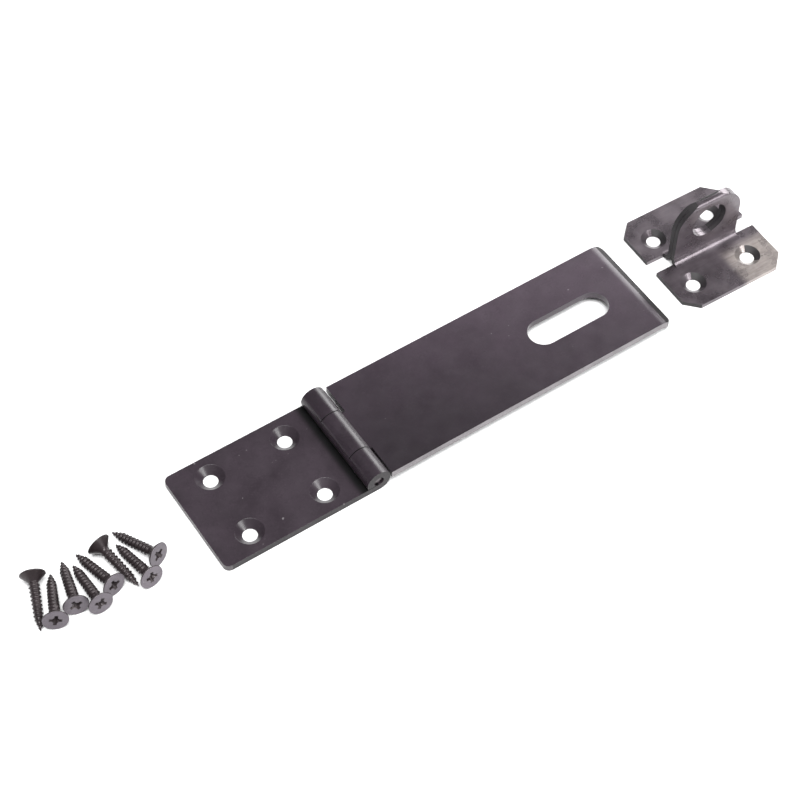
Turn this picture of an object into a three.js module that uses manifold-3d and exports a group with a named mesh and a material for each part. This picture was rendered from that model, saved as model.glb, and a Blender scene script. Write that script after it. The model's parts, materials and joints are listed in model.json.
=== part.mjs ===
// Hasp and staple for a door, gate or shed: a two-plate hasp on a rolled hinge, the folded sheet
// staple that the hasp's slot closes over, and the eight loose wood screws that fix them.
//
// Millimetres, +Z up. The origin is the centre of the leaf's four-screw pattern, on the leaf's
// mounting face. +X runs from the leaf over the hinge to the arm's nose, and +Y lies across.
// Everything lies as it does on a bench: hasp opened flat, staple past the nose, screws in a row.

import * as THREE from "three";
import { mergeVertices } from "three/addons/utils/BufferGeometryUtils.js";
import Module from "manifold-3d";

// ---------------------------------------------------------------- driving dimensions

// Both plates of the hasp.
const PLATE_WIDTH = 38.6;
const SHEET = 2.5;

// Hinge: its axis crosses the plates at HINGE_X.
const HINGE_X = 28.4;
const BARREL_RADIUS = 4.2;
const BORE_RADIUS = 1.7;
const PIN_RADIUS = 1.5;
const PIN_RECESS = 0.6;
const PIN_CHAMFER = 0.4;
const MIDDLE_KNUCKLE = 16.1;
const KNUCKLE_GAP = 0.3;
const SEAM = 0.25;
const NOTCH_CLEARANCE = 0.5;

// Fixed leaf, measured from the hinge axis to its outer end.
const LEAF_LENGTH = 54.4;
const LEAF_CORNER = 2.2;
const LEAF_HOLES = { x: 26.8, y: 23.5 };
const LEAF_HOLE_DIAMETER = 4.8;
const LEAF_SINK_DIAMETER = 9.4;

// Share of the sheet's thickness left straight below every countersink.
const SINK_LAND = 0.15;

// Swinging arm, measured from the hinge axis to its nose. Its sheet is level with the pin.
const ARM_LENGTH = 113.5;
const NOSE_CORNER = 2.4;
const NOSE_EASE = 5;
const NOSE_DROP = 1.9;
const SLOT = { x: 85.4, y: -0.6, length: 30.4, width: 10.5 };

// Staple: one folded sheet, two flanges below and a doubled eye above, measured from the eye.
const STAPLE_PLACE = { x: HINGE_X + 143, y: 2.3, turn: -1.5 };
const STAPLE_SHEET = 1.6;
const STAPLE_BASE = { left: -19.7, right: 20.3, near: -20.8, far: 21.3 };
const STAPLE_CHAMFER = 4.6;
const STAPLE_HOLES = { x: 22.4, y: 22.3 };
const STAPLE_HOLES_AT = { x: -0.5, y: -0.4 };
const STAPLE_HOLE_DIAMETER = 4.8;
const STAPLE_SINK_DIAMETER = 8.6;
const NOTCH = { near: -1.8, far: 3.6 };
const FOLD_GAP = 0.15;
const FLANGE_BEND = 2;
const FLANGE_LAP = 2;
const EYE = { width: 25.6, height: 25.8, shoulder: 10, hole: 13.4, holeHeight: 16.1 };

// Wood screws, number 8 by three quarters of an inch, each placed by its head and its heading.
const SCREW_LENGTH = 18.5;
const SCREW_HEAD_RADIUS = 4;
const SCREW_RIM = 0.35;
const SCREW_SHANK_RADIUS = 1.95;
const SCREW_SHANK_END = 6.2;
const THREAD_RADIUS = 2.05;
const THREAD_END_RADIUS = 1.5;
const THREAD_DEPTH = 0.5;
const THREAD_TURNS = 5;
const THREAD_PITCH = 1.9;
const THREAD_FLANK = 0.4;
const THREAD_LEAD_IN = 0.3;
const RECESS = { span: 4.4, width: 0.95, depth: 1.5 };
const FLOOR_CLEARANCE = 0.02;
const SCREW_PLACES = [
  { x: -75.2, y: 10.2, heading: -111 },
  { x: -76.9, y: -7.8, heading: 68.7 },
  { x: -69.5, y: -6.6, heading: 77.3 },
  { x: -63.1, y: -10.1, heading: 90.6 },
  { x: -56.8, y: -6.7, heading: 102.6 },
  { x: -54, y: 8.7, heading: -78.2 },
  { x: -46.2, y: -10.5, heading: 99.1 },
  { x: -40.7, y: -4.8, heading: 113.5 },
];

// Facets.
const ROUND = 48;
const HOLE_FACETS = 32;
const CORNER_FACETS = 6;
const SCREW_FACETS = 12;
const OVERRUN = 2;
const SINK_OVERRUN = 0.5;

const FINISHES = {
  japanned: { color: 0x4a4547, roughness: 0.45, metalness: 0.6 },
  pin: { color: 0x5a5759, roughness: 0.4, metalness: 0.9 },
  gunmetal: { color: 0x7d7774, roughness: 0.32, metalness: 0.85 },
  screwBlack: { color: 0x3c3634, roughness: 0.5, metalness: 0.7 },
};

// ---------------------------------------------------------------- solids

const wasm = await Module();
wasm.setup();

// A closed three.js geometry as a solid, carried by a matrix when one is given.
function solid(geometry, matrix = new THREE.Matrix4()) {
  const shell = geometry.clone().applyMatrix4(matrix);
  shell.deleteAttribute("normal");
  shell.deleteAttribute("uv");
  const merged = mergeVertices(shell, 1e-4);
  return new wasm.Manifold(
    new wasm.Mesh({
      numProp: 3,
      vertProperties: merged.attributes.position.array,
      triVerts: new Uint32Array(merged.index.array),
    }),
  );
}

function moved(x, y, z) {
  return new THREE.Matrix4().makeTranslation(x, y, z);
}

// A plan outline (x, y) raised from z = low to z = high.
function raised(outline, low, high) {
  const geometry = new THREE.ExtrudeGeometry(outline, {
    depth: high - low,
    bevelEnabled: false,
    curveSegments: CORNER_FACETS,
  });
  return solid(geometry, moved(0, 0, low));
}

// A side profile (x, z) carried across from y = low to y = high.
function acrossY(profile, low, high, facets = ROUND / 4) {
  const geometry = new THREE.ExtrudeGeometry(profile, {
    depth: high - low,
    bevelEnabled: false,
    curveSegments: facets,
  });
  const turn = new THREE.Matrix4().makeRotationX(Math.PI / 2);
  return solid(geometry, moved(0, high, 0).multiply(turn));
}

// An end profile (y, z) carried along x, centred on x = 0.
function alongX(profile, length) {
  const geometry = new THREE.ExtrudeGeometry(profile, {
    depth: length,
    bevelEnabled: false,
    curveSegments: ROUND / 6,
  });
  const turn = new THREE.Matrix4().makeBasis(
    new THREE.Vector3(0, 1, 0),
    new THREE.Vector3(0, 0, 1),
    new THREE.Vector3(1, 0, 0),
  );
  return solid(geometry, moved(-length / 2, 0, 0).multiply(turn));
}

// A box between two corners.
function block(low, high) {
  const size = high.map((value, i) => value - low[i]);
  const centre = high.map((value, i) => (value + low[i]) / 2);
  return solid(new THREE.BoxGeometry(...size), moved(...centre));
}

// A round bar along Y through (x, z).
function barY(radius, x, z, low, high, facets = ROUND) {
  const geometry = new THREE.CylinderGeometry(radius, radius, high - low, facets);
  return solid(geometry, moved(x, (low + high) / 2, z));
}

// The cutter for one countersunk screw hole: a short straight land, then the cone.
function countersink(x, y, top, sheet, hole, sink) {
  const land = SINK_LAND * sheet;
  const upright = new THREE.Matrix4().makeRotationX(Math.PI / 2);
  const bore = new THREE.CylinderGeometry(hole / 2, hole / 2, sheet + 2 * OVERRUN, HOLE_FACETS);
  const depth = sheet - land;
  const slope = (sink - hole) / 2 / depth;
  const mouth = sink / 2 + slope * SINK_OVERRUN;
  const cone = new THREE.CylinderGeometry(mouth, hole / 2, depth + SINK_OVERRUN, HOLE_FACETS);
  return solid(bore, moved(x, y, top - sheet / 2).multiply(upright)).add(
    solid(cone, moved(x, y, top - (depth - SINK_OVERRUN) / 2).multiply(upright)),
  );
}

// The four positions of a rectangular hole pattern.
function corners(pattern, centre = { x: 0, y: 0 }) {
  const places = [];
  for (const sx of [-1, 1]) {
    for (const sy of [-1, 1]) {
      places.push([centre.x + (sx * pattern.x) / 2, centre.y + (sy * pattern.y) / 2]);
    }
  }
  return places;
}

function named(name, body, finish) {
  const { vertProperties, triVerts, numProp, numVert } = body.getMesh();
  const positions = new Float32Array(numVert * 3);
  for (let i = 0; i < numVert; i++) {
    positions.set(vertProperties.subarray(i * numProp, i * numProp + 3), i * 3);
  }
  const geometry = new THREE.BufferGeometry();
  geometry.setAttribute("position", new THREE.BufferAttribute(positions, 3));
  geometry.setIndex(new THREE.BufferAttribute(triVerts, 1));
  geometry.computeVertexNormals();
  const mesh = new THREE.Mesh(geometry, new THREE.MeshStandardMaterial(FINISHES[finish]));
  mesh.name = name;
  return mesh;
}

// ---------------------------------------------------------------- the hasp

// A rectangle in plan whose two corners at x = end are rounded; the other end is square.
function endRoundedPlate(square, end, radius) {
  const side = Math.sign(end - square);
  const half = PLATE_WIDTH / 2;
  const inner = end - side * radius;
  const outline = new THREE.Shape();
  outline.moveTo(square, -half);
  outline.lineTo(inner, -half);
  if (side > 0) {
    outline.absarc(inner, -half + radius, radius, -Math.PI / 2, 0, false);
    outline.absarc(inner, half - radius, radius, 0, Math.PI / 2, false);
  } else {
    outline.absarc(inner, -half + radius, radius, -Math.PI / 2, -Math.PI, true);
    outline.absarc(inner, half - radius, radius, Math.PI, Math.PI / 2, true);
  }
  outline.lineTo(square, half);
  return outline;
}

const HALF_WIDTH = PLATE_WIDTH / 2;
const MIDDLE_HALF = MIDDLE_KNUCKLE / 2;
const OUTER_START = MIDDLE_HALF + KNUCKLE_GAP;
const HINGE_NOTCH = BARREL_RADIUS + NOTCH_CLEARANCE;

// Side profile of the leaf's sheet: flat on the mounting face, under the pin and curled back over
// it, so each outer knuckle is open by a thin seam where the sheet's end comes down on the leaf.
function leafProfile() {
  const drop = BARREL_RADIUS - SHEET - SEAM;
  const innerEnd = Math.PI + Math.asin(drop / BORE_RADIUS);
  const outerEnd = Math.PI + Math.asin(drop / BARREL_RADIUS);
  const under = -Math.PI / 2;
  const outer = HINGE_X - LEAF_LENGTH;
  const profile = new THREE.Shape();
  profile.moveTo(outer, 0);
  profile.lineTo(outer, SHEET);
  profile.absarc(HINGE_X, BARREL_RADIUS, BORE_RADIUS, under, innerEnd, false);
  profile.absarc(HINGE_X, BARREL_RADIUS, BARREL_RADIUS, outerEnd, under, true);
  return profile;
}

function fixedLeaf() {
  const barrelEnd = HINGE_X + BARREL_RADIUS + OVERRUN;
  const top = 2 * BARREL_RADIUS + OVERRUN;
  const plan = endRoundedPlate(barrelEnd, HINGE_X - LEAF_LENGTH, LEAF_CORNER);
  const across = HALF_WIDTH + OVERRUN;
  let leaf = acrossY(leafProfile(), -across, across, ROUND / 2)
    .intersect(raised(plan, -OVERRUN, top))
    .subtract(block([HINGE_X - HINGE_NOTCH, -OUTER_START, -OVERRUN], [barrelEnd, OUTER_START, top]));
  for (const [x, y] of corners(LEAF_HOLES)) {
    leaf = leaf.subtract(
      countersink(x, y, SHEET, SHEET, LEAF_HOLE_DIAMETER, LEAF_SINK_DIAMETER),
    );
  }
  return named("fixed_leaf", leaf, "japanned");
}

// Side profile of the arm's sheet: level with the pin, its last stretch eased down at the nose.
function armProfile(low) {
  const high = low + SHEET;
  const radius = (NOSE_EASE ** 2 + NOSE_DROP ** 2) / (2 * NOSE_DROP);
  const start = HINGE_X + ARM_LENGTH - NOSE_EASE;
  const level = Math.PI / 2;
  const end = level - Math.asin(NOSE_EASE / radius);
  const profile = new THREE.Shape();
  profile.moveTo(HINGE_X, low);
  profile.lineTo(start, low);
  profile.absarc(start, high - radius, radius - SHEET, level, end, true);
  profile.absarc(start, high - radius, radius, end, level, false);
  profile.lineTo(HINGE_X, high);
  return profile;
}

function haspArm() {
  const low = BARREL_RADIUS - SHEET / 2;
  const high = low + SHEET;
  const top = high + OVERRUN;
  const across = HALF_WIDTH + OVERRUN;
  const nose = HINGE_X + ARM_LENGTH;
  let arm = acrossY(armProfile(low), -HALF_WIDTH, HALF_WIDTH, CORNER_FACETS);
  arm = arm.intersect(raised(endRoundedPlate(HINGE_X, nose, NOSE_CORNER), -OVERRUN, top));
  for (const side of [-1, 1]) {
    const ends = [side * MIDDLE_HALF, side * across].sort((a, b) => a - b);
    arm = arm.subtract(
      block([HINGE_X - OVERRUN, ends[0], low - OVERRUN], [HINGE_X + HINGE_NOTCH, ends[1], top]),
    );
  }
  arm = arm.add(barY(BARREL_RADIUS, HINGE_X, BARREL_RADIUS, -MIDDLE_HALF, MIDDLE_HALF));
  arm = arm.subtract(barY(BORE_RADIUS, HINGE_X, BARREL_RADIUS, -across, across));
  const seam = block(
    [HINGE_X + BORE_RADIUS / 2, -HALF_WIDTH, high],
    [HINGE_X + BARREL_RADIUS, HALF_WIDTH, high + SEAM],
  );
  arm = arm.subtract(seam);

  const radius = SLOT.width / 2;
  const reach = SLOT.length / 2 - radius;
  const centre = HINGE_X + SLOT.x;
  const slot = new THREE.Shape();
  slot.absarc(centre + reach, SLOT.y, radius, -Math.PI / 2, Math.PI / 2, false);
  slot.absarc(centre - reach, SLOT.y, radius, Math.PI / 2, (3 * Math.PI) / 2, false);
  const cutter = new THREE.ExtrudeGeometry(slot, {
    depth: SHEET + 2 * OVERRUN,
    bevelEnabled: false,
    curveSegments: HOLE_FACETS / 2,
  });
  return named("hasp_arm", arm.subtract(solid(cutter, moved(0, 0, low - OVERRUN))), "japanned");
}

// The pin runs through all three knuckles and stops just short of the barrel's ends.
function hingePin() {
  const half = HALF_WIDTH - PIN_RECESS;
  const profile = [
    new THREE.Vector2(0, -half),
    new THREE.Vector2(PIN_RADIUS - PIN_CHAMFER, -half),
    new THREE.Vector2(PIN_RADIUS, -half + PIN_CHAMFER),
    new THREE.Vector2(PIN_RADIUS, half - PIN_CHAMFER),
    new THREE.Vector2(PIN_RADIUS - PIN_CHAMFER, half),
    new THREE.Vector2(0, half),
  ];
  const pin = named("hinge_pin", solid(new THREE.LatheGeometry(profile, ROUND / 2)), "pin");
  pin.position.set(HINGE_X, 0, BARREL_RADIUS);
  return pin;
}

// ---------------------------------------------------------------- the staple

// End profile of the folded sheet: flange, bend up, fold over at the top, and the same down again.
function stapleFold() {
  const inner = FOLD_GAP / 2;
  const outer = inner + STAPLE_SHEET;
  const bendY = outer + FLANGE_BEND;
  const bendZ = STAPLE_SHEET + FLANGE_BEND;
  const top = EYE.height - outer;
  const foot = bendY + FLANGE_LAP;
  const quarter = Math.PI / 2;
  const fold = new THREE.Shape();
  fold.moveTo(-foot, STAPLE_SHEET);
  fold.lineTo(-foot, 0);
  fold.absarc(-bendY, bendZ, bendZ, -quarter, 0, false);
  fold.absarc(0, top, inner, Math.PI, 0, true);
  fold.absarc(bendY, bendZ, bendZ, Math.PI, Math.PI + quarter, false);
  fold.lineTo(foot, 0);
  fold.lineTo(foot, STAPLE_SHEET);
  fold.absarc(bendY, bendZ, FLANGE_BEND, -quarter, -Math.PI, true);
  fold.absarc(0, top, outer, 0, Math.PI, false);
  fold.absarc(-bendY, bendZ, FLANGE_BEND, 0, -quarter, true);
  return fold;
}

// Front outline (x, z) of the eye, wide enough below to keep the flange bends.
function eyeOutline() {
  const half = EYE.width / 2;
  const outline = new THREE.Shape();
  outline.moveTo(-half, -OVERRUN);
  outline.lineTo(half, -OVERRUN);
  outline.absarc(half - EYE.shoulder, EYE.height - EYE.shoulder, EYE.shoulder, 0, Math.PI / 2, false);
  outline.absarc(
    EYE.shoulder - half,
    EYE.height - EYE.shoulder,
    EYE.shoulder,
    Math.PI / 2,
    Math.PI,
    false,
  );
  return outline;
}

// One flange in plan: its two outer corners are cut off, its inner edge stops at the notch.
function flangeOutline(edge) {
  const { left, right } = STAPLE_BASE;
  const outer = STAPLE_BASE[edge];
  const inner = NOTCH[edge];
  const cut = outer - Math.sign(outer) * STAPLE_CHAMFER;
  const points = [
    [left, inner],
    [left, cut],
    [left + STAPLE_CHAMFER, outer],
    [right - STAPLE_CHAMFER, outer],
    [right, cut],
    [right, inner],
  ];
  return new THREE.Shape(points.map(([x, y]) => new THREE.Vector2(x, y)));
}

function staple() {
  const reach = STAPLE_BASE.far;
  let body = alongX(stapleFold(), EYE.width).intersect(
    acrossY(eyeOutline(), -reach, reach, ROUND / 6),
  );
  for (const edge of ["near", "far"]) {
    body = body.add(raised(flangeOutline(edge), 0, STAPLE_SHEET));
  }
  body = body.subtract(barY(EYE.hole / 2, 0, EYE.holeHeight, -OVERRUN, OVERRUN, HOLE_FACETS));
  for (const [x, y] of corners(STAPLE_HOLES, STAPLE_HOLES_AT)) {
    body = body.subtract(
      countersink(x, y, STAPLE_SHEET, STAPLE_SHEET, STAPLE_HOLE_DIAMETER, STAPLE_SINK_DIAMETER),
    );
  }
  return named("staple", body, "gunmetal");
}

// ---------------------------------------------------------------- the screws

// One screw about local Y, its head's face at the origin and its point at -SCREW_LENGTH. The
// thread stands as rings that shrink towards the point.
function screwSolid() {
  const threadTop = SCREW_SHANK_END;
  const threadEnd = threadTop + THREAD_TURNS * THREAD_PITCH;
  const at = (radius, depth) => new THREE.Vector2(radius, -depth);
  const profile = [at(0, SCREW_LENGTH), at(THREAD_END_RADIUS - THREAD_DEPTH, threadEnd)];
  for (let turn = THREAD_TURNS; turn > 0; turn--) {
    const share = turn / THREAD_TURNS;
    const crest = THREE.MathUtils.lerp(THREAD_RADIUS, THREAD_END_RADIUS, share);
    const middle = threadTop + (turn - 0.5) * THREAD_PITCH;
    profile.push(at(crest, middle));
    profile.push(at(crest - THREAD_DEPTH, middle - THREAD_FLANK * THREAD_PITCH));
  }
  const headDepth = SCREW_RIM + SCREW_HEAD_RADIUS - SCREW_SHANK_RADIUS;
  profile.push(at(SCREW_SHANK_RADIUS, threadTop - THREAD_LEAD_IN));
  profile.push(at(SCREW_SHANK_RADIUS, headDepth));
  profile.push(at(SCREW_HEAD_RADIUS, SCREW_RIM));
  profile.push(at(SCREW_HEAD_RADIUS, 0));
  profile.push(at(0, 0));

  let screw = solid(new THREE.LatheGeometry(profile, SCREW_FACETS));
  const { span, width, depth } = RECESS;
  for (const [x, z] of [[span, width], [width, span]]) {
    screw = screw.subtract(block([-x / 2, -depth, -z / 2], [x / 2, OVERRUN, z / 2]));
  }
  return screw;
}

// A loose screw lies on the rim of its head and on the last full turn of its thread.
function looseScrew(body, place, index) {
  const contact = SCREW_SHANK_END + (THREAD_TURNS - 0.5) * THREAD_PITCH;
  const dip = Math.asin((SCREW_HEAD_RADIUS - THREAD_END_RADIUS) / contact);
  const heading = THREE.MathUtils.degToRad(place.heading);
  const along = new THREE.Vector3(
    Math.cos(heading) * Math.cos(dip),
    Math.sin(heading) * Math.cos(dip),
    -Math.sin(dip),
  );
  const screw = named(`screw_${index + 1}`, body, "screwBlack");
  screw.position.set(place.x, place.y, SCREW_HEAD_RADIUS * Math.cos(dip) + FLOOR_CLEARANCE);
  screw.quaternion.setFromUnitVectors(new THREE.Vector3(0, -1, 0), along);
  return screw;
}

// ---------------------------------------------------------------- assembly

const hasp = new THREE.Group();
hasp.add(fixedLeaf(), haspArm(), hingePin());

const catchPlate = new THREE.Group();
catchPlate.position.set(STAPLE_PLACE.x, STAPLE_PLACE.y, 0);
catchPlate.rotation.z = THREE.MathUtils.degToRad(STAPLE_PLACE.turn);
catchPlate.add(staple());

const fixings = new THREE.Group();
const screwBody = screwSolid();
SCREW_PLACES.forEach((place, index) => fixings.add(looseScrew(screwBody, place, index)));

const part = new THREE.Group();
part.add(hasp, catchPlate, fixings);

export default part;
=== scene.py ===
"""Looks of the hasp and staple: every sheet-metal piece and screw rebuilt at fine detail on the frame.

Metres throughout, in the part's own frame: +X from the leaf over the hinge to the arm's nose.
"""

import json
import math

import bmesh
import bpy
import numpy as np
from mathutils import Matrix, Vector


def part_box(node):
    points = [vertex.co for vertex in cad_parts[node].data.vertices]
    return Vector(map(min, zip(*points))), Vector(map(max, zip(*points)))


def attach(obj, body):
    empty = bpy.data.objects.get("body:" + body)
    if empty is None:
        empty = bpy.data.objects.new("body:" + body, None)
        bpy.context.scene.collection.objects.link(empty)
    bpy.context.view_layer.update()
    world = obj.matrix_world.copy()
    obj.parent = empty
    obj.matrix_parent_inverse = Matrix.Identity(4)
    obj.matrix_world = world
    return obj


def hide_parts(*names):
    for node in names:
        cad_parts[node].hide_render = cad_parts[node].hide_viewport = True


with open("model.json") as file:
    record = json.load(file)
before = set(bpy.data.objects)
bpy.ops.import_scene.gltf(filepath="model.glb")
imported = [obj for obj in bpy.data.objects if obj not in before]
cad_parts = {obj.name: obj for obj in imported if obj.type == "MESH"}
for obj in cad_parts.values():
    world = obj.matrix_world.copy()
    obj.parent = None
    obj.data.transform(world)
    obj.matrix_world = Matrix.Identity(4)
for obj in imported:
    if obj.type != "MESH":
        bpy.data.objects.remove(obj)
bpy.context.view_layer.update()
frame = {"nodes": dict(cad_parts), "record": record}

MM = 0.001

# ------------------------------------------------------------------ sizes, from the frame

HINGE = next(j for j in frame["record"]["behaviour"]["joints"] if j["name"] == "arm_hinge")
HINGE_X, _, HINGE_Z = HINGE["pos_m"]
LEAF_LOW, LEAF_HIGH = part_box("fixed_leaf")
ARM_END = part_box("hasp_arm")[1].x
PIN_LOW, PIN_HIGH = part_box("hinge_pin")

HALF_WIDTH = LEAF_HIGH.y
BARREL = HINGE_Z
SHEET = 2.5 * MM
BORE = 1.7 * MM
SEAM = 0.25 * MM
MIDDLE_HALF = 8.05 * MM
KNUCKLE_GAP = 0.3 * MM
LEAF_NOTCH = BARREL - 0.5 * MM
ARM_NOTCHES = {-1: BARREL + 0.5 * MM, 1: BARREL + 1.0 * MM}
PLATE_ROUND = 0.35 * MM
PIN_EDGE = 0.35 * MM
PIN_ROUND = 0.05 * MM

LEAF_CORNER = 2.2 * MM
LEAF_HOLES = (26.8 * MM, 23.5 * MM)
HOLE = 4.8 * MM
LEAF_SINK = 9.4 * MM
SINK_SHARE = 0.85  # of the sheet's thickness, taken by the cone

NOSE_CORNER = 2.4 * MM
NOSE_EASE = 5 * MM
NOSE_DROP = 1.9 * MM
SLOT_X, SLOT_Y = HINGE_X + 85.4 * MM, -0.6 * MM
SLOT_LENGTH = 30.4 * MM
SLOT_WIDTH = 10.5 * MM

OPENINGS = {opening["name"]: opening["box_m"] for opening in frame["record"]["physics"]["openings"]}
EYE_X, EYE_Y, EYE_Z = ((low + high) / 2 for low, high in zip(*OPENINGS["staple_eye"]))
STAPLE_TURN = math.radians(-1.5)
STAPLE_SHEET = 1.6 * MM
STAPLE_LEFT, STAPLE_RIGHT = -19.7 * MM, 20.3 * MM
STAPLE_CHAMFER = 4.6 * MM
STAPLE_HOLES = (22.4 * MM, 22.3 * MM)
STAPLE_HOLES_AT = (-0.5 * MM, -0.4 * MM)
STAPLE_SINK = 8.6 * MM
STAPLE_ROUND = 0.3 * MM
NEAR_FLANGE = (-1.8 * MM, -20.8 * MM)
FAR_FLANGE = (3.6 * MM, 21.3 * MM)
FOLD_GAP = 0.15 * MM
FLANGE_BEND = 3 * MM
FLANGE_LAP = 2 * MM
STAPLE_FOOT = FOLD_GAP / 2 + STAPLE_SHEET + FLANGE_BEND + FLANGE_LAP
EYE_WIDTH = 25.6 * MM
EYE_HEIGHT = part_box("staple")[1].z
EYE_SHOULDER = 10 * MM
EYE_HOLE = 13.4 * MM

MERGE = 1e-6
CUT_PAST = 0.6 * MM
CUT_LOW, CUT_HIGH = -1 * MM, 3 * BARREL

# ------------------------------------------------------------------ mesh helpers


def arc(cx, cy, radius, start, end, steps):
    """Points of an arc, angles in degrees, both ends included."""
    points = []
    for i in range(steps + 1):
        angle = math.radians(start + (end - start) * i / steps)
        points.append((cx + radius * math.cos(angle), cy + radius * math.sin(angle)))
    return points


def rise_angle(rise, radius):
    """Angle in degrees at which a circle of this radius stands a rise above its centre."""
    return math.degrees(math.asin(rise / radius))


def new_object(name, bm):
    """A mesh object from a bmesh, its faces turned outwards."""
    bmesh.ops.remove_doubles(bm, verts=bm.verts, dist=MERGE)
    bmesh.ops.recalc_face_normals(bm, faces=bm.faces)
    mesh = bpy.data.meshes.new(name)
    bm.to_mesh(mesh)
    bm.free()
    obj = bpy.data.objects.new(name, mesh)
    bpy.context.scene.collection.objects.link(obj)
    return obj


def prism(name, outline, low, high, plane):
    """A closed prism: outline in the plane "xy", "xz" or "yz", from low to high along the third axis."""
    place = {
        "xy": lambda a, b, c: (a, b, c),
        "xz": lambda a, b, c: (a, c, b),
        "yz": lambda a, b, c: (c, a, b),
    }[plane]
    bm = bmesh.new()
    rings = [[bm.verts.new(place(a, b, level)) for a, b in outline] for level in (low, high)]
    for ring in rings:
        bm.faces.new(ring)
    count = len(outline)
    for i in range(count):
        j = (i + 1) % count
        bm.faces.new((rings[0][i], rings[0][j], rings[1][j], rings[1][i]))
    return new_object(name, bm)


def block(name, low, high):
    """A box between two corners."""
    outline = [(low[0], low[1]), (high[0], low[1]), (high[0], high[1]), (low[0], high[1])]
    return prism(name, outline, low[2], high[2], "xy")


def lathe(name, profile, steps=64):
    """A closed solid of revolution about Z from (radius, z) points; ends on the axis."""
    bm = bmesh.new()
    rings = []
    for radius, z in profile:
        if radius < MERGE:
            rings.append([bm.verts.new((0, 0, z))])
            continue
        ring = []
        for i in range(steps):
            angle = 2 * math.pi * i / steps
            ring.append(bm.verts.new((radius * math.cos(angle), radius * math.sin(angle), z)))
        rings.append(ring)
    for low, high in zip(rings, rings[1:]):
        for i in range(steps):
            j = (i + 1) % steps
            quad = [low[i % len(low)], low[j % len(low)], high[j % len(high)], high[i % len(high)]]
            unique = list(dict.fromkeys(quad))
            if len(unique) > 2:
                bm.faces.new(unique)
    return new_object(name, bm)


def apply_modifiers(obj):
    """Every modifier of obj made real."""
    graph = bpy.context.evaluated_depsgraph_get()
    mesh = bpy.data.meshes.new_from_object(obj.evaluated_get(graph), depsgraph=graph)
    obj.modifiers.clear()
    old, obj.data = obj.data, mesh
    bpy.data.meshes.remove(old)


def combine(base, tool, operation):
    """base joined with, cut by or limited to tool, which is used up."""
    modifier = base.modifiers.new("combine", "BOOLEAN")
    modifier.operation = operation
    modifier.solver = "EXACT"
    modifier.object = tool
    apply_modifiers(base)
    bpy.data.objects.remove(tool)


def soften(obj, width, segments=4):
    """Every sharp edge rounded, as pressed and tumbled sheet has it."""
    flat, sharp = math.radians(0.5), math.radians(28)
    bm = bmesh.new()
    bm.from_mesh(obj.data)
    bmesh.ops.remove_doubles(bm, verts=bm.verts, dist=2 * MERGE)
    bmesh.ops.dissolve_limit(bm, angle_limit=flat, verts=bm.verts, edges=bm.edges, delimit={"NORMAL"})
    bm.to_mesh(obj.data)
    bm.free()
    bevel = obj.modifiers.new("bevel", "BEVEL")
    bevel.width = width
    bevel.segments = segments
    bevel.limit_method = "ANGLE"
    bevel.angle_limit = sharp
    bevel.use_clamp_overlap = True
    bevel.harden_normals = True
    for polygon in obj.data.polygons:
        polygon.use_smooth = True
    apply_modifiers(obj)


def countersink(x, y, sheet, sink):
    """The cutter of one countersunk hole: a short straight land, then the cone, then its mouth."""
    cone = SINK_SHARE * sheet
    slope = (sink - HOLE) / 2 / cone
    profile = [
        (0, -CUT_PAST),
        (HOLE / 2, -CUT_PAST),
        (HOLE / 2, sheet - cone),
        (sink / 2, sheet),
        (sink / 2 + slope * CUT_PAST, sheet + CUT_PAST),
        (0, sheet + CUT_PAST),
    ]
    cutter = lathe("countersink", profile)
    cutter.data.transform(Matrix.Translation((x, y, 0)))
    return cutter


def corners(spacing, centre=(0, 0)):
    """The four positions of a rectangular hole pattern about its centre."""
    return [
        (centre[0] + side_x * spacing[0] / 2, centre[1] + side_y * spacing[1] / 2)
        for side_x in (-1, 1)
        for side_y in (-1, 1)
    ]


def finish_piece(obj, name, body, node, materials):
    """Names the piece, gives it its materials and hangs it on the frame."""
    obj.name = name
    obj.data.name = name
    for material in materials:
        obj.data.materials.append(material)
    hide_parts(node)
    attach(obj, body)


# ------------------------------------------------------------------ material helpers


def node_material(name):
    """A fresh node material: (material, tree, its Principled shader, object coordinates)."""
    material = bpy.data.materials.new(name)
    material.use_nodes = True
    tree = material.node_tree
    shader = tree.nodes["Principled BSDF"]
    coordinates = tree.nodes.new("ShaderNodeTexCoord")
    return material, tree, shader, coordinates.outputs["Object"]


def noise(tree, coordinates, scale, detail=3.0, roughness=0.5):
    """Cloudy values about 0.5; scale is in clouds per metre."""
    texture = tree.nodes.new("ShaderNodeTexNoise")
    texture.inputs["Scale"].default_value = scale
    texture.inputs["Detail"].default_value = detail
    texture.inputs["Roughness"].default_value = roughness
    tree.links.new(coordinates, texture.inputs["Vector"])
    return texture.outputs["Fac"]


def ramp(tree, value, stops):
    """A colour ramp through (position, colour) stops."""
    node = tree.nodes.new("ShaderNodeValToRGB")
    elements = node.color_ramp.elements
    while len(elements) < len(stops):
        elements.new(0.5)
    for element, (position, colour) in zip(elements, stops):
        element.position = position
        element.color = (*colour, 1)
    tree.links.new(value, node.inputs["Fac"])
    return node.outputs["Color"]


def spread(tree, value, low, high):
    """The usual run of a noise, 0.3 to 0.7, mapped to low..high."""
    node = tree.nodes.new("ShaderNodeMapRange")
    node.inputs["From Min"].default_value = 0.3
    node.inputs["From Max"].default_value = 0.7
    node.inputs["To Min"].default_value = low
    node.inputs["To Max"].default_value = high
    tree.links.new(value, node.inputs["Value"])
    return node.outputs["Result"]


def blended(tree, factor, first, second):
    """The colour first, giving way to second where factor is high."""
    node = tree.nodes.new("ShaderNodeMix")
    node.data_type = "RGBA"
    tree.links.new(factor, node.inputs["Factor"])
    tree.links.new(first, node.inputs["A"])
    tree.links.new(second, node.inputs["B"])
    return node.outputs["Result"]


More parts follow.
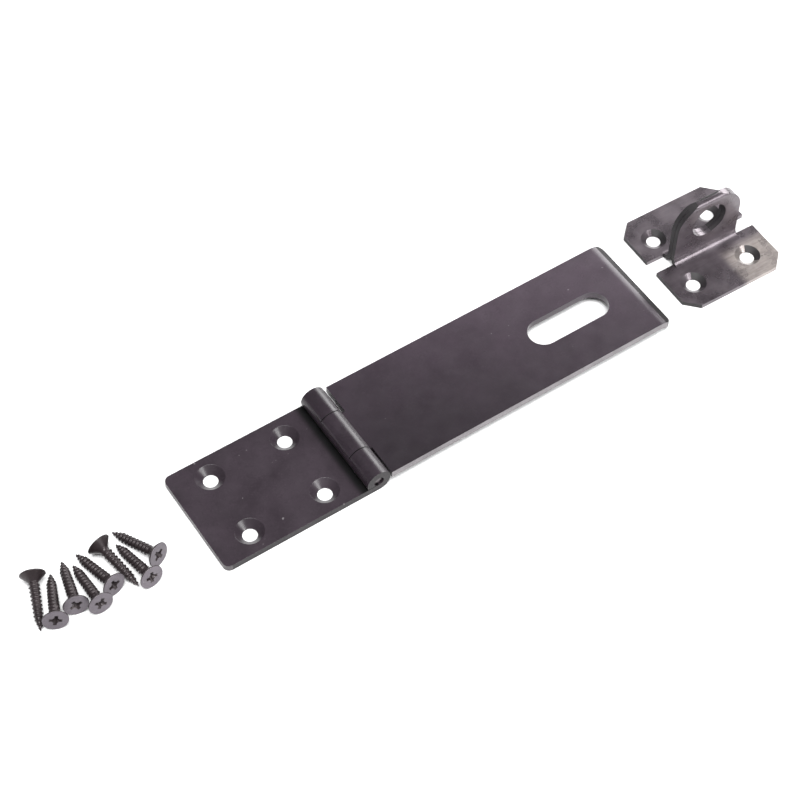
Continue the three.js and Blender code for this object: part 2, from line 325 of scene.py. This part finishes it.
def darkened(tree, colour, share):
    """A colour times a value."""
    node = tree.nodes.new("ShaderNodeMix")
    node.data_type = "RGBA"
    node.blend_type = "MULTIPLY"
    node.inputs["Factor"].default_value = 1.0
    tree.links.new(colour, node.inputs["A"])
    tree.links.new(share, node.inputs["B"])
    return node.outputs["Result"]


def product(tree, first, second):
    """Two values multiplied."""
    node = tree.nodes.new("ShaderNodeMath")
    node.operation = "MULTIPLY"
    tree.links.new(first, node.inputs[0])
    tree.links.new(second, node.inputs[1])
    return node.outputs[0]


def along(tree, coordinates, start, end, low=0.0, high=1.0):
    """A value that goes smoothly from low at start to high at end, both points in metres."""
    line = Vector(end) - Vector(start)
    reach = tree.nodes.new("ShaderNodeVectorMath")
    reach.operation = "DOT_PRODUCT"
    reach.inputs[1].default_value = line / line.length
    tree.links.new(coordinates, reach.inputs[0])
    node = tree.nodes.new("ShaderNodeMapRange")
    node.interpolation_type = "SMOOTHSTEP"
    node.inputs["From Min"].default_value = Vector(start).dot(line) / line.length
    node.inputs["From Max"].default_value = Vector(end).dot(line) / line.length
    node.inputs["To Min"].default_value = low
    node.inputs["To Max"].default_value = high
    tree.links.new(reach.outputs["Value"], node.inputs["Value"])
    return node.outputs["Result"]


def bump(tree, shader, height, strength, distance):
    """Gives the shader a fine relief."""
    node = tree.nodes.new("ShaderNodeBump")
    node.inputs["Strength"].default_value = strength
    node.inputs["Distance"].default_value = distance
    tree.links.new(height, node.inputs["Height"])
    tree.links.new(node.outputs["Normal"], shader.inputs["Normal"])


def grey(value):
    return (value, value, value)


def shaded(colour, share):
    return [share * channel for channel in colour]


# ------------------------------------------------------------------ materials

DUST = (0.32, 0.3, 0.31)
# colours of the painted reflection on the staple's near flange
REFLECTION_DARK, REFLECTION_LIGHT = (0.26, 0.225, 0.21), (0.44, 0.395, 0.37)
GLOSSY, SATIN, DULL = (0.28, 0.36), (0.34, 0.46), (0.55, 0.68)


def painted(name, dark, light, metallic, rough, fade=None):
    """Stoved black-brown paint: cloudy tone, orange peel, and a few pale specks of dust and wear.

    fade = (start, end, low) is painted light and shade: it darkens the coat to a share low at start, rising
    to full tone at end."""
    material, tree, shader, coordinates = node_material(name)
    clouds = noise(tree, coordinates, scale=95, detail=4, roughness=0.6)
    grain = noise(tree, coordinates, scale=1700, detail=2)
    patches = noise(tree, coordinates, scale=420, roughness=0.55)
    specks = noise(tree, coordinates, scale=620, detail=1, roughness=0.4)
    tone = ramp(tree, clouds, [(0.32, dark), (0.68, light)])
    grain_tone = ramp(tree, grain, [(0.35, shaded(dark, 0.9)), (0.7, shaded(light, 1.12))])
    grain_share = ramp(tree, patches, [(0.4, grey(0)), (0.62, grey(0.5))])
    tone = blended(tree, grain_share, tone, grain_tone)
    dust_share = ramp(tree, specks, [(0.79, grey(0)), (0.83, grey(0.3))])
    dust = tree.nodes.new("ShaderNodeRGB")
    dust.outputs[0].default_value = (*DUST, 1)
    tone = blended(tree, dust_share, tone, dust.outputs[0])
    # painted light and shade: the colour darkened along a line from start to end
    if fade:
        tone = darkened(tree, tone, along(tree, coordinates, *fade))
    tree.links.new(tone, shader.inputs["Base Color"])
    shader.inputs["Metallic"].default_value = metallic
    gloss = noise(tree, coordinates, scale=160, roughness=0.6)
    tree.links.new(spread(tree, gloss, *rough), shader.inputs["Roughness"])
    bump(tree, shader, noise(tree, coordinates, scale=850, detail=2), strength=0.12, distance=0.05 * MM)
    return material


def reflection_patch_share(tree, coordinates):
    """Painted reflection: a pale warm patch on the staple's near flange past the middle, with a ragged
    border.
    """
    right = along(tree, coordinates, (EYE_X + 1 * MM, 0, 0), (EYE_X + 5 * MM, 0, 0))
    near = along(tree, coordinates, (0, EYE_Y - 4 * MM, 0), (0, EYE_Y - 10 * MM, 0))
    ragged = spread(tree, noise(tree, coordinates, scale=260, detail=4, roughness=0.6), 0.55, 1.0)
    return product(tree, product(tree, right, near), ragged)


def lacquered(name, dark, light, metallic, rough, painted_reflection=False):
    """Bright sheet under a thin dark lacquer: rolled streaks, warm blotches and fine scratches."""
    material, tree, shader, coordinates = node_material(name)
    stretch = tree.nodes.new("ShaderNodeMapping")
    stretch.inputs["Scale"].default_value = (0.22, 1.6, 1.0)
    tree.links.new(coordinates, stretch.inputs["Vector"])
    streaks = noise(tree, stretch.outputs["Vector"], scale=900, detail=4, roughness=0.65)
    blotches = noise(tree, coordinates, scale=130, roughness=0.55)
    patches = noise(tree, coordinates, scale=300, detail=2)
    tone = ramp(tree, blotches, [(0.3, dark), (0.72, light)])
    streak_tone = ramp(tree, streaks, [(0.3, shaded(dark, 0.85)), (0.7, shaded(light, 1.05))])
    streak_share = ramp(tree, patches, [(0.35, grey(0.04)), (0.65, grey(0.32))])
    tone = blended(tree, streak_share, tone, streak_tone)
    if painted_reflection:
        # painted reflection: the pale warm patch blended over the lacquer
        reflected_tone = ramp(tree, streaks, [(0.3, REFLECTION_DARK), (0.7, REFLECTION_LIGHT)])
        tone = blended(tree, reflection_patch_share(tree, coordinates), tone, reflected_tone)
    tree.links.new(tone, shader.inputs["Base Color"])
    shader.inputs["Metallic"].default_value = metallic
    tree.links.new(spread(tree, blotches, *rough), shader.inputs["Roughness"])
    shader.inputs["Coat Weight"].default_value = 0.35
    shader.inputs["Coat Roughness"].default_value = 0.18
    bump(tree, shader, streaks, strength=0.05, distance=0.03 * MM)
    return material


BARREL_SIDE = HINGE_X - BARREL
# painted shade: the leaf's paint almost black beside the barrel, back to full tone 2.7 mm further out
LEAF_PAINTED_SHADE = ((BARREL_SIDE - 0.9 * MM, 0, 0), (BARREL_SIDE - 3.6 * MM, 0, 0), 0.02)
# painted light: the arm's paint darkened to 0.3 at the hinge's near corner, rising to full tone towards the
# far side and the nose
ARM_PAINTED_LIGHT = ((HINGE_X, -HALF_WIDTH, 0), (HINGE_X + 34 * MM, 56 * MM, 0), 0.3)

LEAF_PAINT = painted(
    "japanned_leaf", (0.0180, 0.0125, 0.0170), (0.0320, 0.0232, 0.0305), 0.0, GLOSSY, LEAF_PAINTED_SHADE
)
ARM_PAINT = painted("japanned_arm", (0.036, 0.025, 0.0345), (0.053, 0.0377, 0.051), 0.0, GLOSSY, ARM_PAINTED_LIGHT)
LEAF_EDGE = painted("leaf_edge", (0.040, 0.034, 0.037), (0.085, 0.076, 0.081), 0.3, SATIN)
ARM_EDGE = painted("arm_edge", (0.11, 0.10, 0.106), (0.22, 0.204, 0.213), 0.4, SATIN)
KNUCKLE_PAINT = painted(
    "knuckle_paint", (0.012, 0.0080, 0.0114), (0.0250, 0.0170, 0.0238), 0.0, (0.27, 0.36)
)
# dark paint for the barrel ends, and painted shade on the arm's steep nose bend and on the staple's faces
# turned to -X and behind its fold
DARK_END_AND_SHADE_PAINT = painted("dark_end_and_painted_shade", (0.0060, 0.0045, 0.0055), (0.0140, 0.0108, 0.0130), 0.0, DULL)
PIN_STEEL = lacquered("pin_steel", (0.05, 0.04, 0.045), (0.11, 0.092, 0.10), 0.8, (0.3, 0.42))
STAPLE_STEEL = lacquered(
    "staple_gunmetal", (0.070, 0.057, 0.066), (0.16, 0.137, 0.153), 0.7, (0.24, 0.34), painted_reflection=True
)
SCREW_BLACK = painted("screw_black", (0.014, 0.0095, 0.0105), (0.042, 0.032, 0.0345), 0.35, (0.30, 0.44))
SCREW_FACE = painted("screw_face", (0.075, 0.064, 0.075), (0.125, 0.109, 0.125), 0.4, (0.3, 0.4))

# ------------------------------------------------------------------ the hasp

ON_FACE, ON_EDGE_AND_SHADE, ON_KNUCKLE, ON_DARK_END_AND_SHADE = range(4)  # places in a plate's list of materials
PAINTED_BARREL = 1.02 * BARREL


def plate_outline(square, end, radius):
    """Plan of a plate whose corners at x = end are rounded."""
    inner = end - math.copysign(radius, end - square)
    points = [(square, -HALF_WIDTH)]
    if end > square:
        points += arc(inner, radius - HALF_WIDTH, radius, -90, 0, 10)
        points += arc(inner, HALF_WIDTH - radius, radius, 0, 90, 10)
    else:
        points += arc(inner, radius - HALF_WIDTH, radius, -90, -180, 10)
        points += arc(inner, HALF_WIDTH - radius, radius, 180, 90, 10)
    return points + [(square, HALF_WIDTH)]


def cut_to_plan(sheet, square, end, radius):
    """Limits the bent sheet to its plate's plan."""
    plan = prism("plan", plate_outline(square, end, radius), CUT_LOW, CUT_HIGH, "xy")
    combine(sheet, plan, "INTERSECT")


def paint_plate(sheet, in_barrel):
    """Plate faces, cut upright rims, rolled knuckles and dark ends, each with its own paint; the steep nose
    bend takes the dark paint as painted shade.
    """
    for polygon in sheet.data.polygons:
        normal, centre = polygon.normal, polygon.center
        upright = abs(normal.z) < 0.4 and max(abs(normal.x), abs(normal.y)) > 0.8
        at_side = abs(centre.y) > HALF_WIDTH - MM
        at_end = not LEAF_LOW.x + MM < centre.x < ARM_END - MM
        shaded_steep_nose = normal.x > 0.36 and centre.x > ARM_END - NOSE_EASE
        if in_barrel(centre.x):
            polygon.material_index = ON_DARK_END_AND_SHADE if abs(normal.y) > 0.5 else ON_KNUCKLE
        # painted shade: the steepest part of the nose bend gets the dark paint
        elif shaded_steep_nose:
            polygon.material_index = ON_DARK_END_AND_SHADE
        else:
            polygon.material_index = ON_EDGE_AND_SHADE if upright and (at_side or at_end) else ON_FACE


def leaf():
    """The leaf's sheet runs under the pin and curls over it; the curl's end comes down on the leaf."""
    end_drop = BARREL - SHEET - SEAM
    profile = [(LEAF_LOW.x, SHEET)]
    profile += arc(HINGE_X, HINGE_Z, BORE, -90, 180 + rise_angle(end_drop, BORE), 60)
    profile += arc(HINGE_X, HINGE_Z, BARREL, 180 + rise_angle(end_drop, BARREL), -90, 84)
    profile += [(LEAF_LOW.x, 0)]
    sheet = prism("leaf", profile, -HALF_WIDTH, HALF_WIDTH, "xz")
    cut_to_plan(sheet, HINGE_X + 2 * BARREL, LEAF_LOW.x, LEAF_CORNER)
    reach = MIDDLE_HALF + KNUCKLE_GAP
    low, high = (HINGE_X - LEAF_NOTCH, -reach, CUT_LOW), (HINGE_X + 2 * BARREL, reach, CUT_HIGH)
    combine(sheet, block("notch", low, high), "DIFFERENCE")
    for x, y in corners(LEAF_HOLES):
        combine(sheet, countersink(x, y, SHEET, LEAF_SINK), "DIFFERENCE")
    soften(sheet, PLATE_ROUND)
    paints = [LEAF_PAINT, LEAF_EDGE, KNUCKLE_PAINT, DARK_END_AND_SHADE_PAINT]
    finish_piece(sheet, "leaf_sheet", "leaf", "fixed_leaf", paints)
    paint_plate(sheet, lambda x: x > HINGE_X - PAINTED_BARREL)


def arm():
    """The arm's sheet meets the barrel level with the pin, wraps under it and over, and ends on the arm."""
    half = SHEET / 2
    bend = (NOSE_EASE**2 + NOSE_DROP**2) / (2 * NOSE_DROP)
    bend_x, bend_z = ARM_END - NOSE_EASE, HINGE_Z + half - bend
    nose = 90 - rise_angle(NOSE_EASE, bend)
    profile = arc(bend_x, bend_z, bend - SHEET, 90, nose, 12)
    profile += arc(bend_x, bend_z, bend, nose, 90, 12)
    start, end = rise_angle(half, BORE), rise_angle(half + SEAM, BORE) - 360
    profile += arc(HINGE_X, HINGE_Z, BORE, start, end, 60)
    start, end = rise_angle(half + SEAM, BARREL), 360 - rise_angle(half, BARREL)
    profile += arc(HINGE_X, HINGE_Z, BARREL, start, end, 84)
    sheet = prism("arm", profile, -HALF_WIDTH, HALF_WIDTH, "xz")
    cut_to_plan(sheet, HINGE_X - 2 * BARREL, ARM_END, NOSE_CORNER)
    for side in (-1, 1):
        near, far = sorted((side * MIDDLE_HALF, side * 2 * HALF_WIDTH))
        low, high = (HINGE_X - 2 * BARREL, near, CUT_LOW), (HINGE_X + ARM_NOTCHES[side], far, CUT_HIGH)
        combine(sheet, block("notch", low, high), "DIFFERENCE")
    radius = SLOT_WIDTH / 2
    reach = SLOT_LENGTH / 2 - radius
    slot = arc(SLOT_X + reach, SLOT_Y, radius, -90, 90, 32)
    slot += arc(SLOT_X - reach, SLOT_Y, radius, 90, 270, 32)
    combine(sheet, prism("slot", slot, CUT_LOW, CUT_HIGH, "xy"), "DIFFERENCE")
    soften(sheet, PLATE_ROUND)
    paints = [ARM_PAINT, ARM_EDGE, KNUCKLE_PAINT, DARK_END_AND_SHADE_PAINT]
    finish_piece(sheet, "arm_sheet", "arm", "hasp_arm", paints)
    paint_plate(sheet, lambda x: x < HINGE_X + PAINTED_BARREL)


def pin():
    """The pin's two ends are cut and slightly domed."""
    radius = (PIN_HIGH.x - PIN_LOW.x) / 2
    half = PIN_HIGH.y
    shoulder = arc(radius - PIN_EDGE, half - PIN_EDGE, PIN_EDGE, 0, 60, 5)
    profile = [(0, -half)] + [(r, -z) for r, z in reversed(shoulder)] + shoulder + [(0, half)]
    rod = lathe("pin", profile, steps=48)
    turn = Matrix.Rotation(math.radians(-90), 4, "X")
    rod.data.transform(Matrix.Translation((HINGE_X, 0, HINGE_Z)) @ turn)
    soften(rod, PIN_ROUND, segments=2)
    finish_piece(rod, "pin_rod", "leaf", "hinge_pin", [PIN_STEEL])


# ------------------------------------------------------------------ the staple


def bent_sheet():
    """The staple's sheet seen from its end: foot, bend, up and over the fold, bend and foot."""
    inner = FOLD_GAP / 2
    outer = inner + STAPLE_SHEET
    bend_y = outer + FLANGE_BEND
    bend_z = STAPLE_SHEET + FLANGE_BEND
    top = EYE_HEIGHT - outer
    profile = [(-STAPLE_FOOT, 0)]
    profile += arc(-bend_y, bend_z, bend_z, -90, 0, 14)
    profile += arc(0, top, inner, 180, 0, 6)
    profile += arc(bend_y, bend_z, bend_z, 180, 270, 14)
    profile += [(STAPLE_FOOT, 0), (STAPLE_FOOT, STAPLE_SHEET)]
    profile += arc(bend_y, bend_z, FLANGE_BEND, -90, -180, 14)
    profile += arc(0, top, outer, 0, 180, 24)
    profile += arc(-bend_y, bend_z, FLANGE_BEND, 0, -90, 14)
    return profile + [(-STAPLE_FOOT, STAPLE_SHEET)]


def eye_outline():
    """Front of the eye: straight sides and big round shoulders; the bends at its foot stay whole."""
    half = EYE_WIDTH / 2
    shoulder = half - EYE_SHOULDER
    rise = EYE_HEIGHT - EYE_SHOULDER
    wide = half + MM
    outline = [(-wide, CUT_LOW), (wide, CUT_LOW), (wide, rise / 2), (half, rise / 2)]
    outline += arc(shoulder, rise, EYE_SHOULDER, 0, 90, 20)
    outline += arc(-shoulder, rise, EYE_SHOULDER, 90, 180, 20)
    return outline + [(-half, rise / 2), (-wide, rise / 2)]


def flange_outline(inner, outer):
    """Plan of one flange: outer corners cut off, inner edge stopping at the notch."""
    cut = outer - math.copysign(STAPLE_CHAMFER, outer)
    return [
        (STAPLE_LEFT, inner),
        (STAPLE_LEFT, cut),
        (STAPLE_LEFT + STAPLE_CHAMFER, outer),
        (STAPLE_RIGHT - STAPLE_CHAMFER, outer),
        (STAPLE_RIGHT, cut),
        (STAPLE_RIGHT, inner),
    ]


def staple():
    """One sheet: flange, bend, doubled eye folded over at the top, and the other flange."""
    half = EYE_WIDTH / 2
    body = prism("staple", bent_sheet(), -half, half, "yz")
    combine(body, prism("front", eye_outline(), -2 * STAPLE_FOOT, 2 * STAPLE_FOOT, "xz"), "INTERSECT")
    for flange in (NEAR_FLANGE, FAR_FLANGE):
        combine(body, prism("flange", flange_outline(*flange), 0, STAPLE_SHEET, "xy"), "UNION")
    ring = arc(0, EYE_Z, EYE_HOLE / 2, 0, 360, 72)[:-1]
    combine(body, prism("eye", ring, -STAPLE_FOOT, STAPLE_FOOT, "xz"), "DIFFERENCE")
    for x, y in corners(STAPLE_HOLES, STAPLE_HOLES_AT):
        combine(body, countersink(x, y, STAPLE_SHEET, STAPLE_SINK), "DIFFERENCE")
    soften(body, STAPLE_ROUND)
    body.data.transform(Matrix.Translation((EYE_X, EYE_Y, 0)) @ Matrix.Rotation(STAPLE_TURN, 4, "Z"))
    finish_piece(body, "staple_sheet", "staple", "staple", [STAPLE_STEEL, DARK_END_AND_SHADE_PAINT])
    # painted shade: faces turned towards -X, and the far side of the fold high up, get the dark paint in
    # the second place
    for polygon in body.data.polygons:
        normal = polygon.normal
        shaded_left_face = normal.x < -0.25 and normal.z < 0.97
        shaded_behind_ridge = normal.y > 0.15 and normal.z > 0.1 and polygon.center.z > EYE_HEIGHT / 2
        polygon.material_index = ON_EDGE_AND_SHADE if shaded_left_face or shaded_behind_ridge else ON_FACE


# ------------------------------------------------------------------ the screws

SCREW_COUNT = 8
SCREW_SPIN = 37
SCREW_STEPS = 36
SCREW_LENGTH = 18.5 * MM
HEAD = 4 * MM
HEAD_RIM = 0.35 * MM
RIM_INSETS = {0.0: 0.14 * MM, 0.08 * MM: 0.04 * MM}  # depth: how far the rounded rim stays in there
HEAD_BLEND = 0.6 * MM
CORE = 1.4 * MM
CORE_TAPER = 0.3 * MM
CONE_END = HEAD_RIM + HEAD - CORE
CREST_TOP, CREST_LOW = 1.85 * MM, 1.5 * MM
PITCH = 1.3 * MM
THREAD_START = 2.7 * MM
THREAD_RUN_OUT = 0.9 * MM
RIDGE_HALF, RIDGE_CURVE = 0.3, 1.3  # half the ridge's width as a share of the pitch, and its curve
POINT_LENGTH = 4.2 * MM
POINT_CURVE = 0.75
POINT_CREST = 0.12  # share of the thread's crest that is left at the very point


def clamped(value):
    return min(1.0, max(0.0, value))


def screw_radius(depth, turn):
    """Radius of the screw at a depth below its face and at a share of a turn round it."""
    if depth <= HEAD_RIM:
        return HEAD - RIM_INSETS.get(depth, 0.0)
    cone = HEAD - (depth - HEAD_RIM)
    taper = max(0.0, (depth - CONE_END) / (SCREW_LENGTH - CONE_END))
    point = clamped((SCREW_LENGTH - depth) / POINT_LENGTH) ** POINT_CURVE
    core = (CORE - CORE_TAPER * taper) * point
    crest = (CREST_TOP + (CREST_LOW - CREST_TOP) * taper) * (POINT_CREST + (1 - POINT_CREST) * point)
    phase = ((depth - THREAD_START) / PITCH - turn) % 1.0
    ridge = max(0.0, 1 - abs(phase - 0.5) / RIDGE_HALF) ** RIDGE_CURVE
    fade = clamped((depth - THREAD_START) / PITCH) * clamped((SCREW_LENGTH - depth) / THREAD_RUN_OUT)
    threaded = core + (crest - core) * ridge * fade
    return max(cone, threaded) if depth < CONE_END + HEAD_BLEND else threaded


def screw_depths():
    """Depths of the screw's rings: its rounded rim, its cone, and closely down the thread."""
    rim = [*RIM_INSETS, 0.22 * MM, HEAD_RIM]
    cone = np.linspace(0.5, 3.0, 12) * MM
    thread = np.linspace(3.1, 18.4, 116) * MM
    return [*rim, *cone, *thread]


def cross_cutter():
    """The cross recess: two crossed wedges that narrow towards the bottom, round a tapering core."""
    over, core_depth, wing_depth = 0.3 * MM, 1.9 * MM, 1.8 * MM
    core_top, core_bottom = 1.25 * MM, 0.6 * MM
    wing_top, wing_bottom, wing_half = 2.2 * MM, 0.7 * MM, 0.55 * MM
    profile = [(0, over), (core_top, over), (core_bottom, -core_depth), (0, -core_depth)]
    cutter = lathe("core", profile, steps=32)
    outline = [(-wing_top, over), (wing_top, over), (wing_bottom, -wing_depth), (-wing_bottom, -wing_depth)]
    for turn in (0, 90):
        wing = prism("wing", outline, -wing_half, wing_half, "xz")
        wing.data.transform(Matrix.Rotation(math.radians(turn), 4, "Z"))
        combine(cutter, wing, "UNION")
    return cutter


def screw_template():
    """One screw about Z, face at the origin and point below: helical thread and cross recess."""
    bm = bmesh.new()
    rings = []
    for depth in screw_depths():
        ring = []
        for i in range(SCREW_STEPS):
            turn = i / SCREW_STEPS
            radius = screw_radius(depth, turn)
            angle = 2 * math.pi * turn
            ring.append(bm.verts.new((radius * math.cos(angle), radius * math.sin(angle), -depth)))
        rings.append(ring)
    for upper, lower in zip(rings, rings[1:]):
        for i in range(SCREW_STEPS):
            j = (i + 1) % SCREW_STEPS
            bm.faces.new((upper[i], upper[j], lower[j], lower[i]))
    bm.faces.new(rings[0])
    tip = bm.verts.new((0, 0, -SCREW_LENGTH))
    for i in range(SCREW_STEPS):
        bm.faces.new((rings[-1][i], rings[-1][(i + 1) % SCREW_STEPS], tip))
    screw = new_object("screw_template", bm)
    combine(screw, cross_cutter(), "DIFFERENCE")
    for polygon in screw.data.polygons:
        normal, centre = polygon.normal, polygon.center
        polygon.use_smooth = abs(normal.z) < 0.97 and centre.z < -0.02 * MM
        polygon.material_index = 1 if centre.z > -0.25 * MM and normal.z > 0.5 else 0
    return screw


def screw_place(node):
    """Where a CAD screw lies: its face's centre and the unit direction towards its point."""
    points = np.array([v.co for v in frame["nodes"][node].data.vertices], float)
    middle = points.mean(0)
    _, _, axes = np.linalg.svd(points - middle, full_matrices=False)
    axis = axes[0]
    reach = (points - middle) @ axis
    radii = np.linalg.norm(points - middle - np.outer(reach, axis), axis=1)
    if reach[radii.argmax()] > 0:
        axis, reach = -axis, -reach
    face = points[reach < reach.min() + 0.1 * MM]
    return Vector((face.min(0) + face.max(0)) / 2), Vector(axis)


def screws():
    """The loose screws, each turned differently about its own axis."""
    template = screw_template()
    for index in range(1, SCREW_COUNT + 1):
        node = f"screw_{index}"
        face, axis = screw_place(node)
        aim = (-axis).to_track_quat("Z", "Y").to_matrix().to_4x4()
        spin = Matrix.Rotation(math.radians(SCREW_SPIN * index), 4, "Z")
        screw = bpy.data.objects.new(node, template.data.copy())
        bpy.context.scene.collection.objects.link(screw)
        screw.data.transform(Matrix.Translation(face) @ aim @ spin)
        finish_piece(screw, f"wood_{node}", node, node, [SCREW_BLACK, SCREW_FACE])
    bpy.data.objects.remove(template)


# ------------------------------------------------------------------ camera, floor and light

TARGET = Vector((52.48, 5.53, 0)) * MM
CAMERA_AZIMUTH, CAMERA_ELEVATION = 33.508, 53.942
CAMERA_DISTANCE = 637.578 * MM
FOCAL_MM = 90.32
SENSOR_MM = 36
FLOOR_HALF = 3.0
FLOOR_BOTTOM, FLOOR_TOP = -20 * MM, -0.2 * MM


def heading(azimuth, elevation):
    """Unit vector towards an azimuth (degrees from +Y towards +X) and an elevation above the floor."""
    a, e = math.radians(azimuth), math.radians(elevation)
    return Vector((math.cos(e) * math.sin(a), math.cos(e) * math.cos(a), math.sin(e)))


def camera():
    """Looks down at the target at the photograph's viewing angle."""
    forward = heading(CAMERA_AZIMUTH, -CAMERA_ELEVATION)
    data = bpy.data.cameras.new("camera")
    data.lens = FOCAL_MM
    data.sensor_width = SENSOR_MM
    data.clip_start = 10 * MM
    obj = bpy.data.objects.new("camera", data)
    bpy.context.scene.collection.objects.link(obj)
    obj.location = TARGET - forward * CAMERA_DISTANCE
    obj.rotation_euler = forward.to_track_quat("-Z", "Y").to_euler()
    bpy.context.scene.camera = obj


def floor():
    """A plain pale floor just under the pieces."""
    slab = block("floor", (-FLOOR_HALF, -FLOOR_HALF, FLOOR_BOTTOM), (FLOOR_HALF, FLOOR_HALF, FLOOR_TOP))
    material, tree, shader, coordinates = node_material("pale_floor")
    tone = ramp(tree, noise(tree, coordinates, scale=6, detail=2), [(0.3, grey(0.86)), (0.7, grey(0.9))])
    tree.links.new(tone, shader.inputs["Base Color"])
    shader.inputs["Roughness"].default_value = 0.8
    shader.inputs["Specular IOR Level"].default_value = 0.1
    slab.data.materials.append(material)


def softbox(name, azimuth, elevation, distance, width, height, watts):
    """A rectangular area light aimed at the target."""
    data = bpy.data.lights.new(name, "AREA")
    data.shape = "RECTANGLE"
    data.size = width
    data.size_y = height
    data.energy = watts
    obj = bpy.data.objects.new(name, data)
    bpy.context.scene.collection.objects.link(obj)
    towards = heading(azimuth, elevation)
    obj.location = TARGET + towards * distance
    obj.rotation_euler = (-towards).to_track_quat("-Z", "Y").to_euler()


def lights():
    """A dim even sky, a large box overhead, and two low ones whose reflections draw the edges."""
    world = bpy.data.worlds.new("studio")
    bpy.context.scene.world = world
    world.use_nodes = True
    background = world.node_tree.nodes["Background"]
    background.inputs["Color"].default_value = (0.96, 0.97, 1.0, 1)
    background.inputs["Strength"].default_value = 0.22
    softbox("overhead", azimuth=-146, elevation=72, distance=1.3, width=0.9, height=0.6, watts=27)
    softbox("back", azimuth=56, elevation=21, distance=1.0, width=0.52, height=0.5, watts=6)
    softbox("front", azimuth=154, elevation=31, distance=1.0, width=0.4, height=0.55, watts=7)


camera()
lights()
floor()
leaf()
arm()
pin()
staple()
screws()
bpy.context.scene.view_settings.view_transform = "Standard"
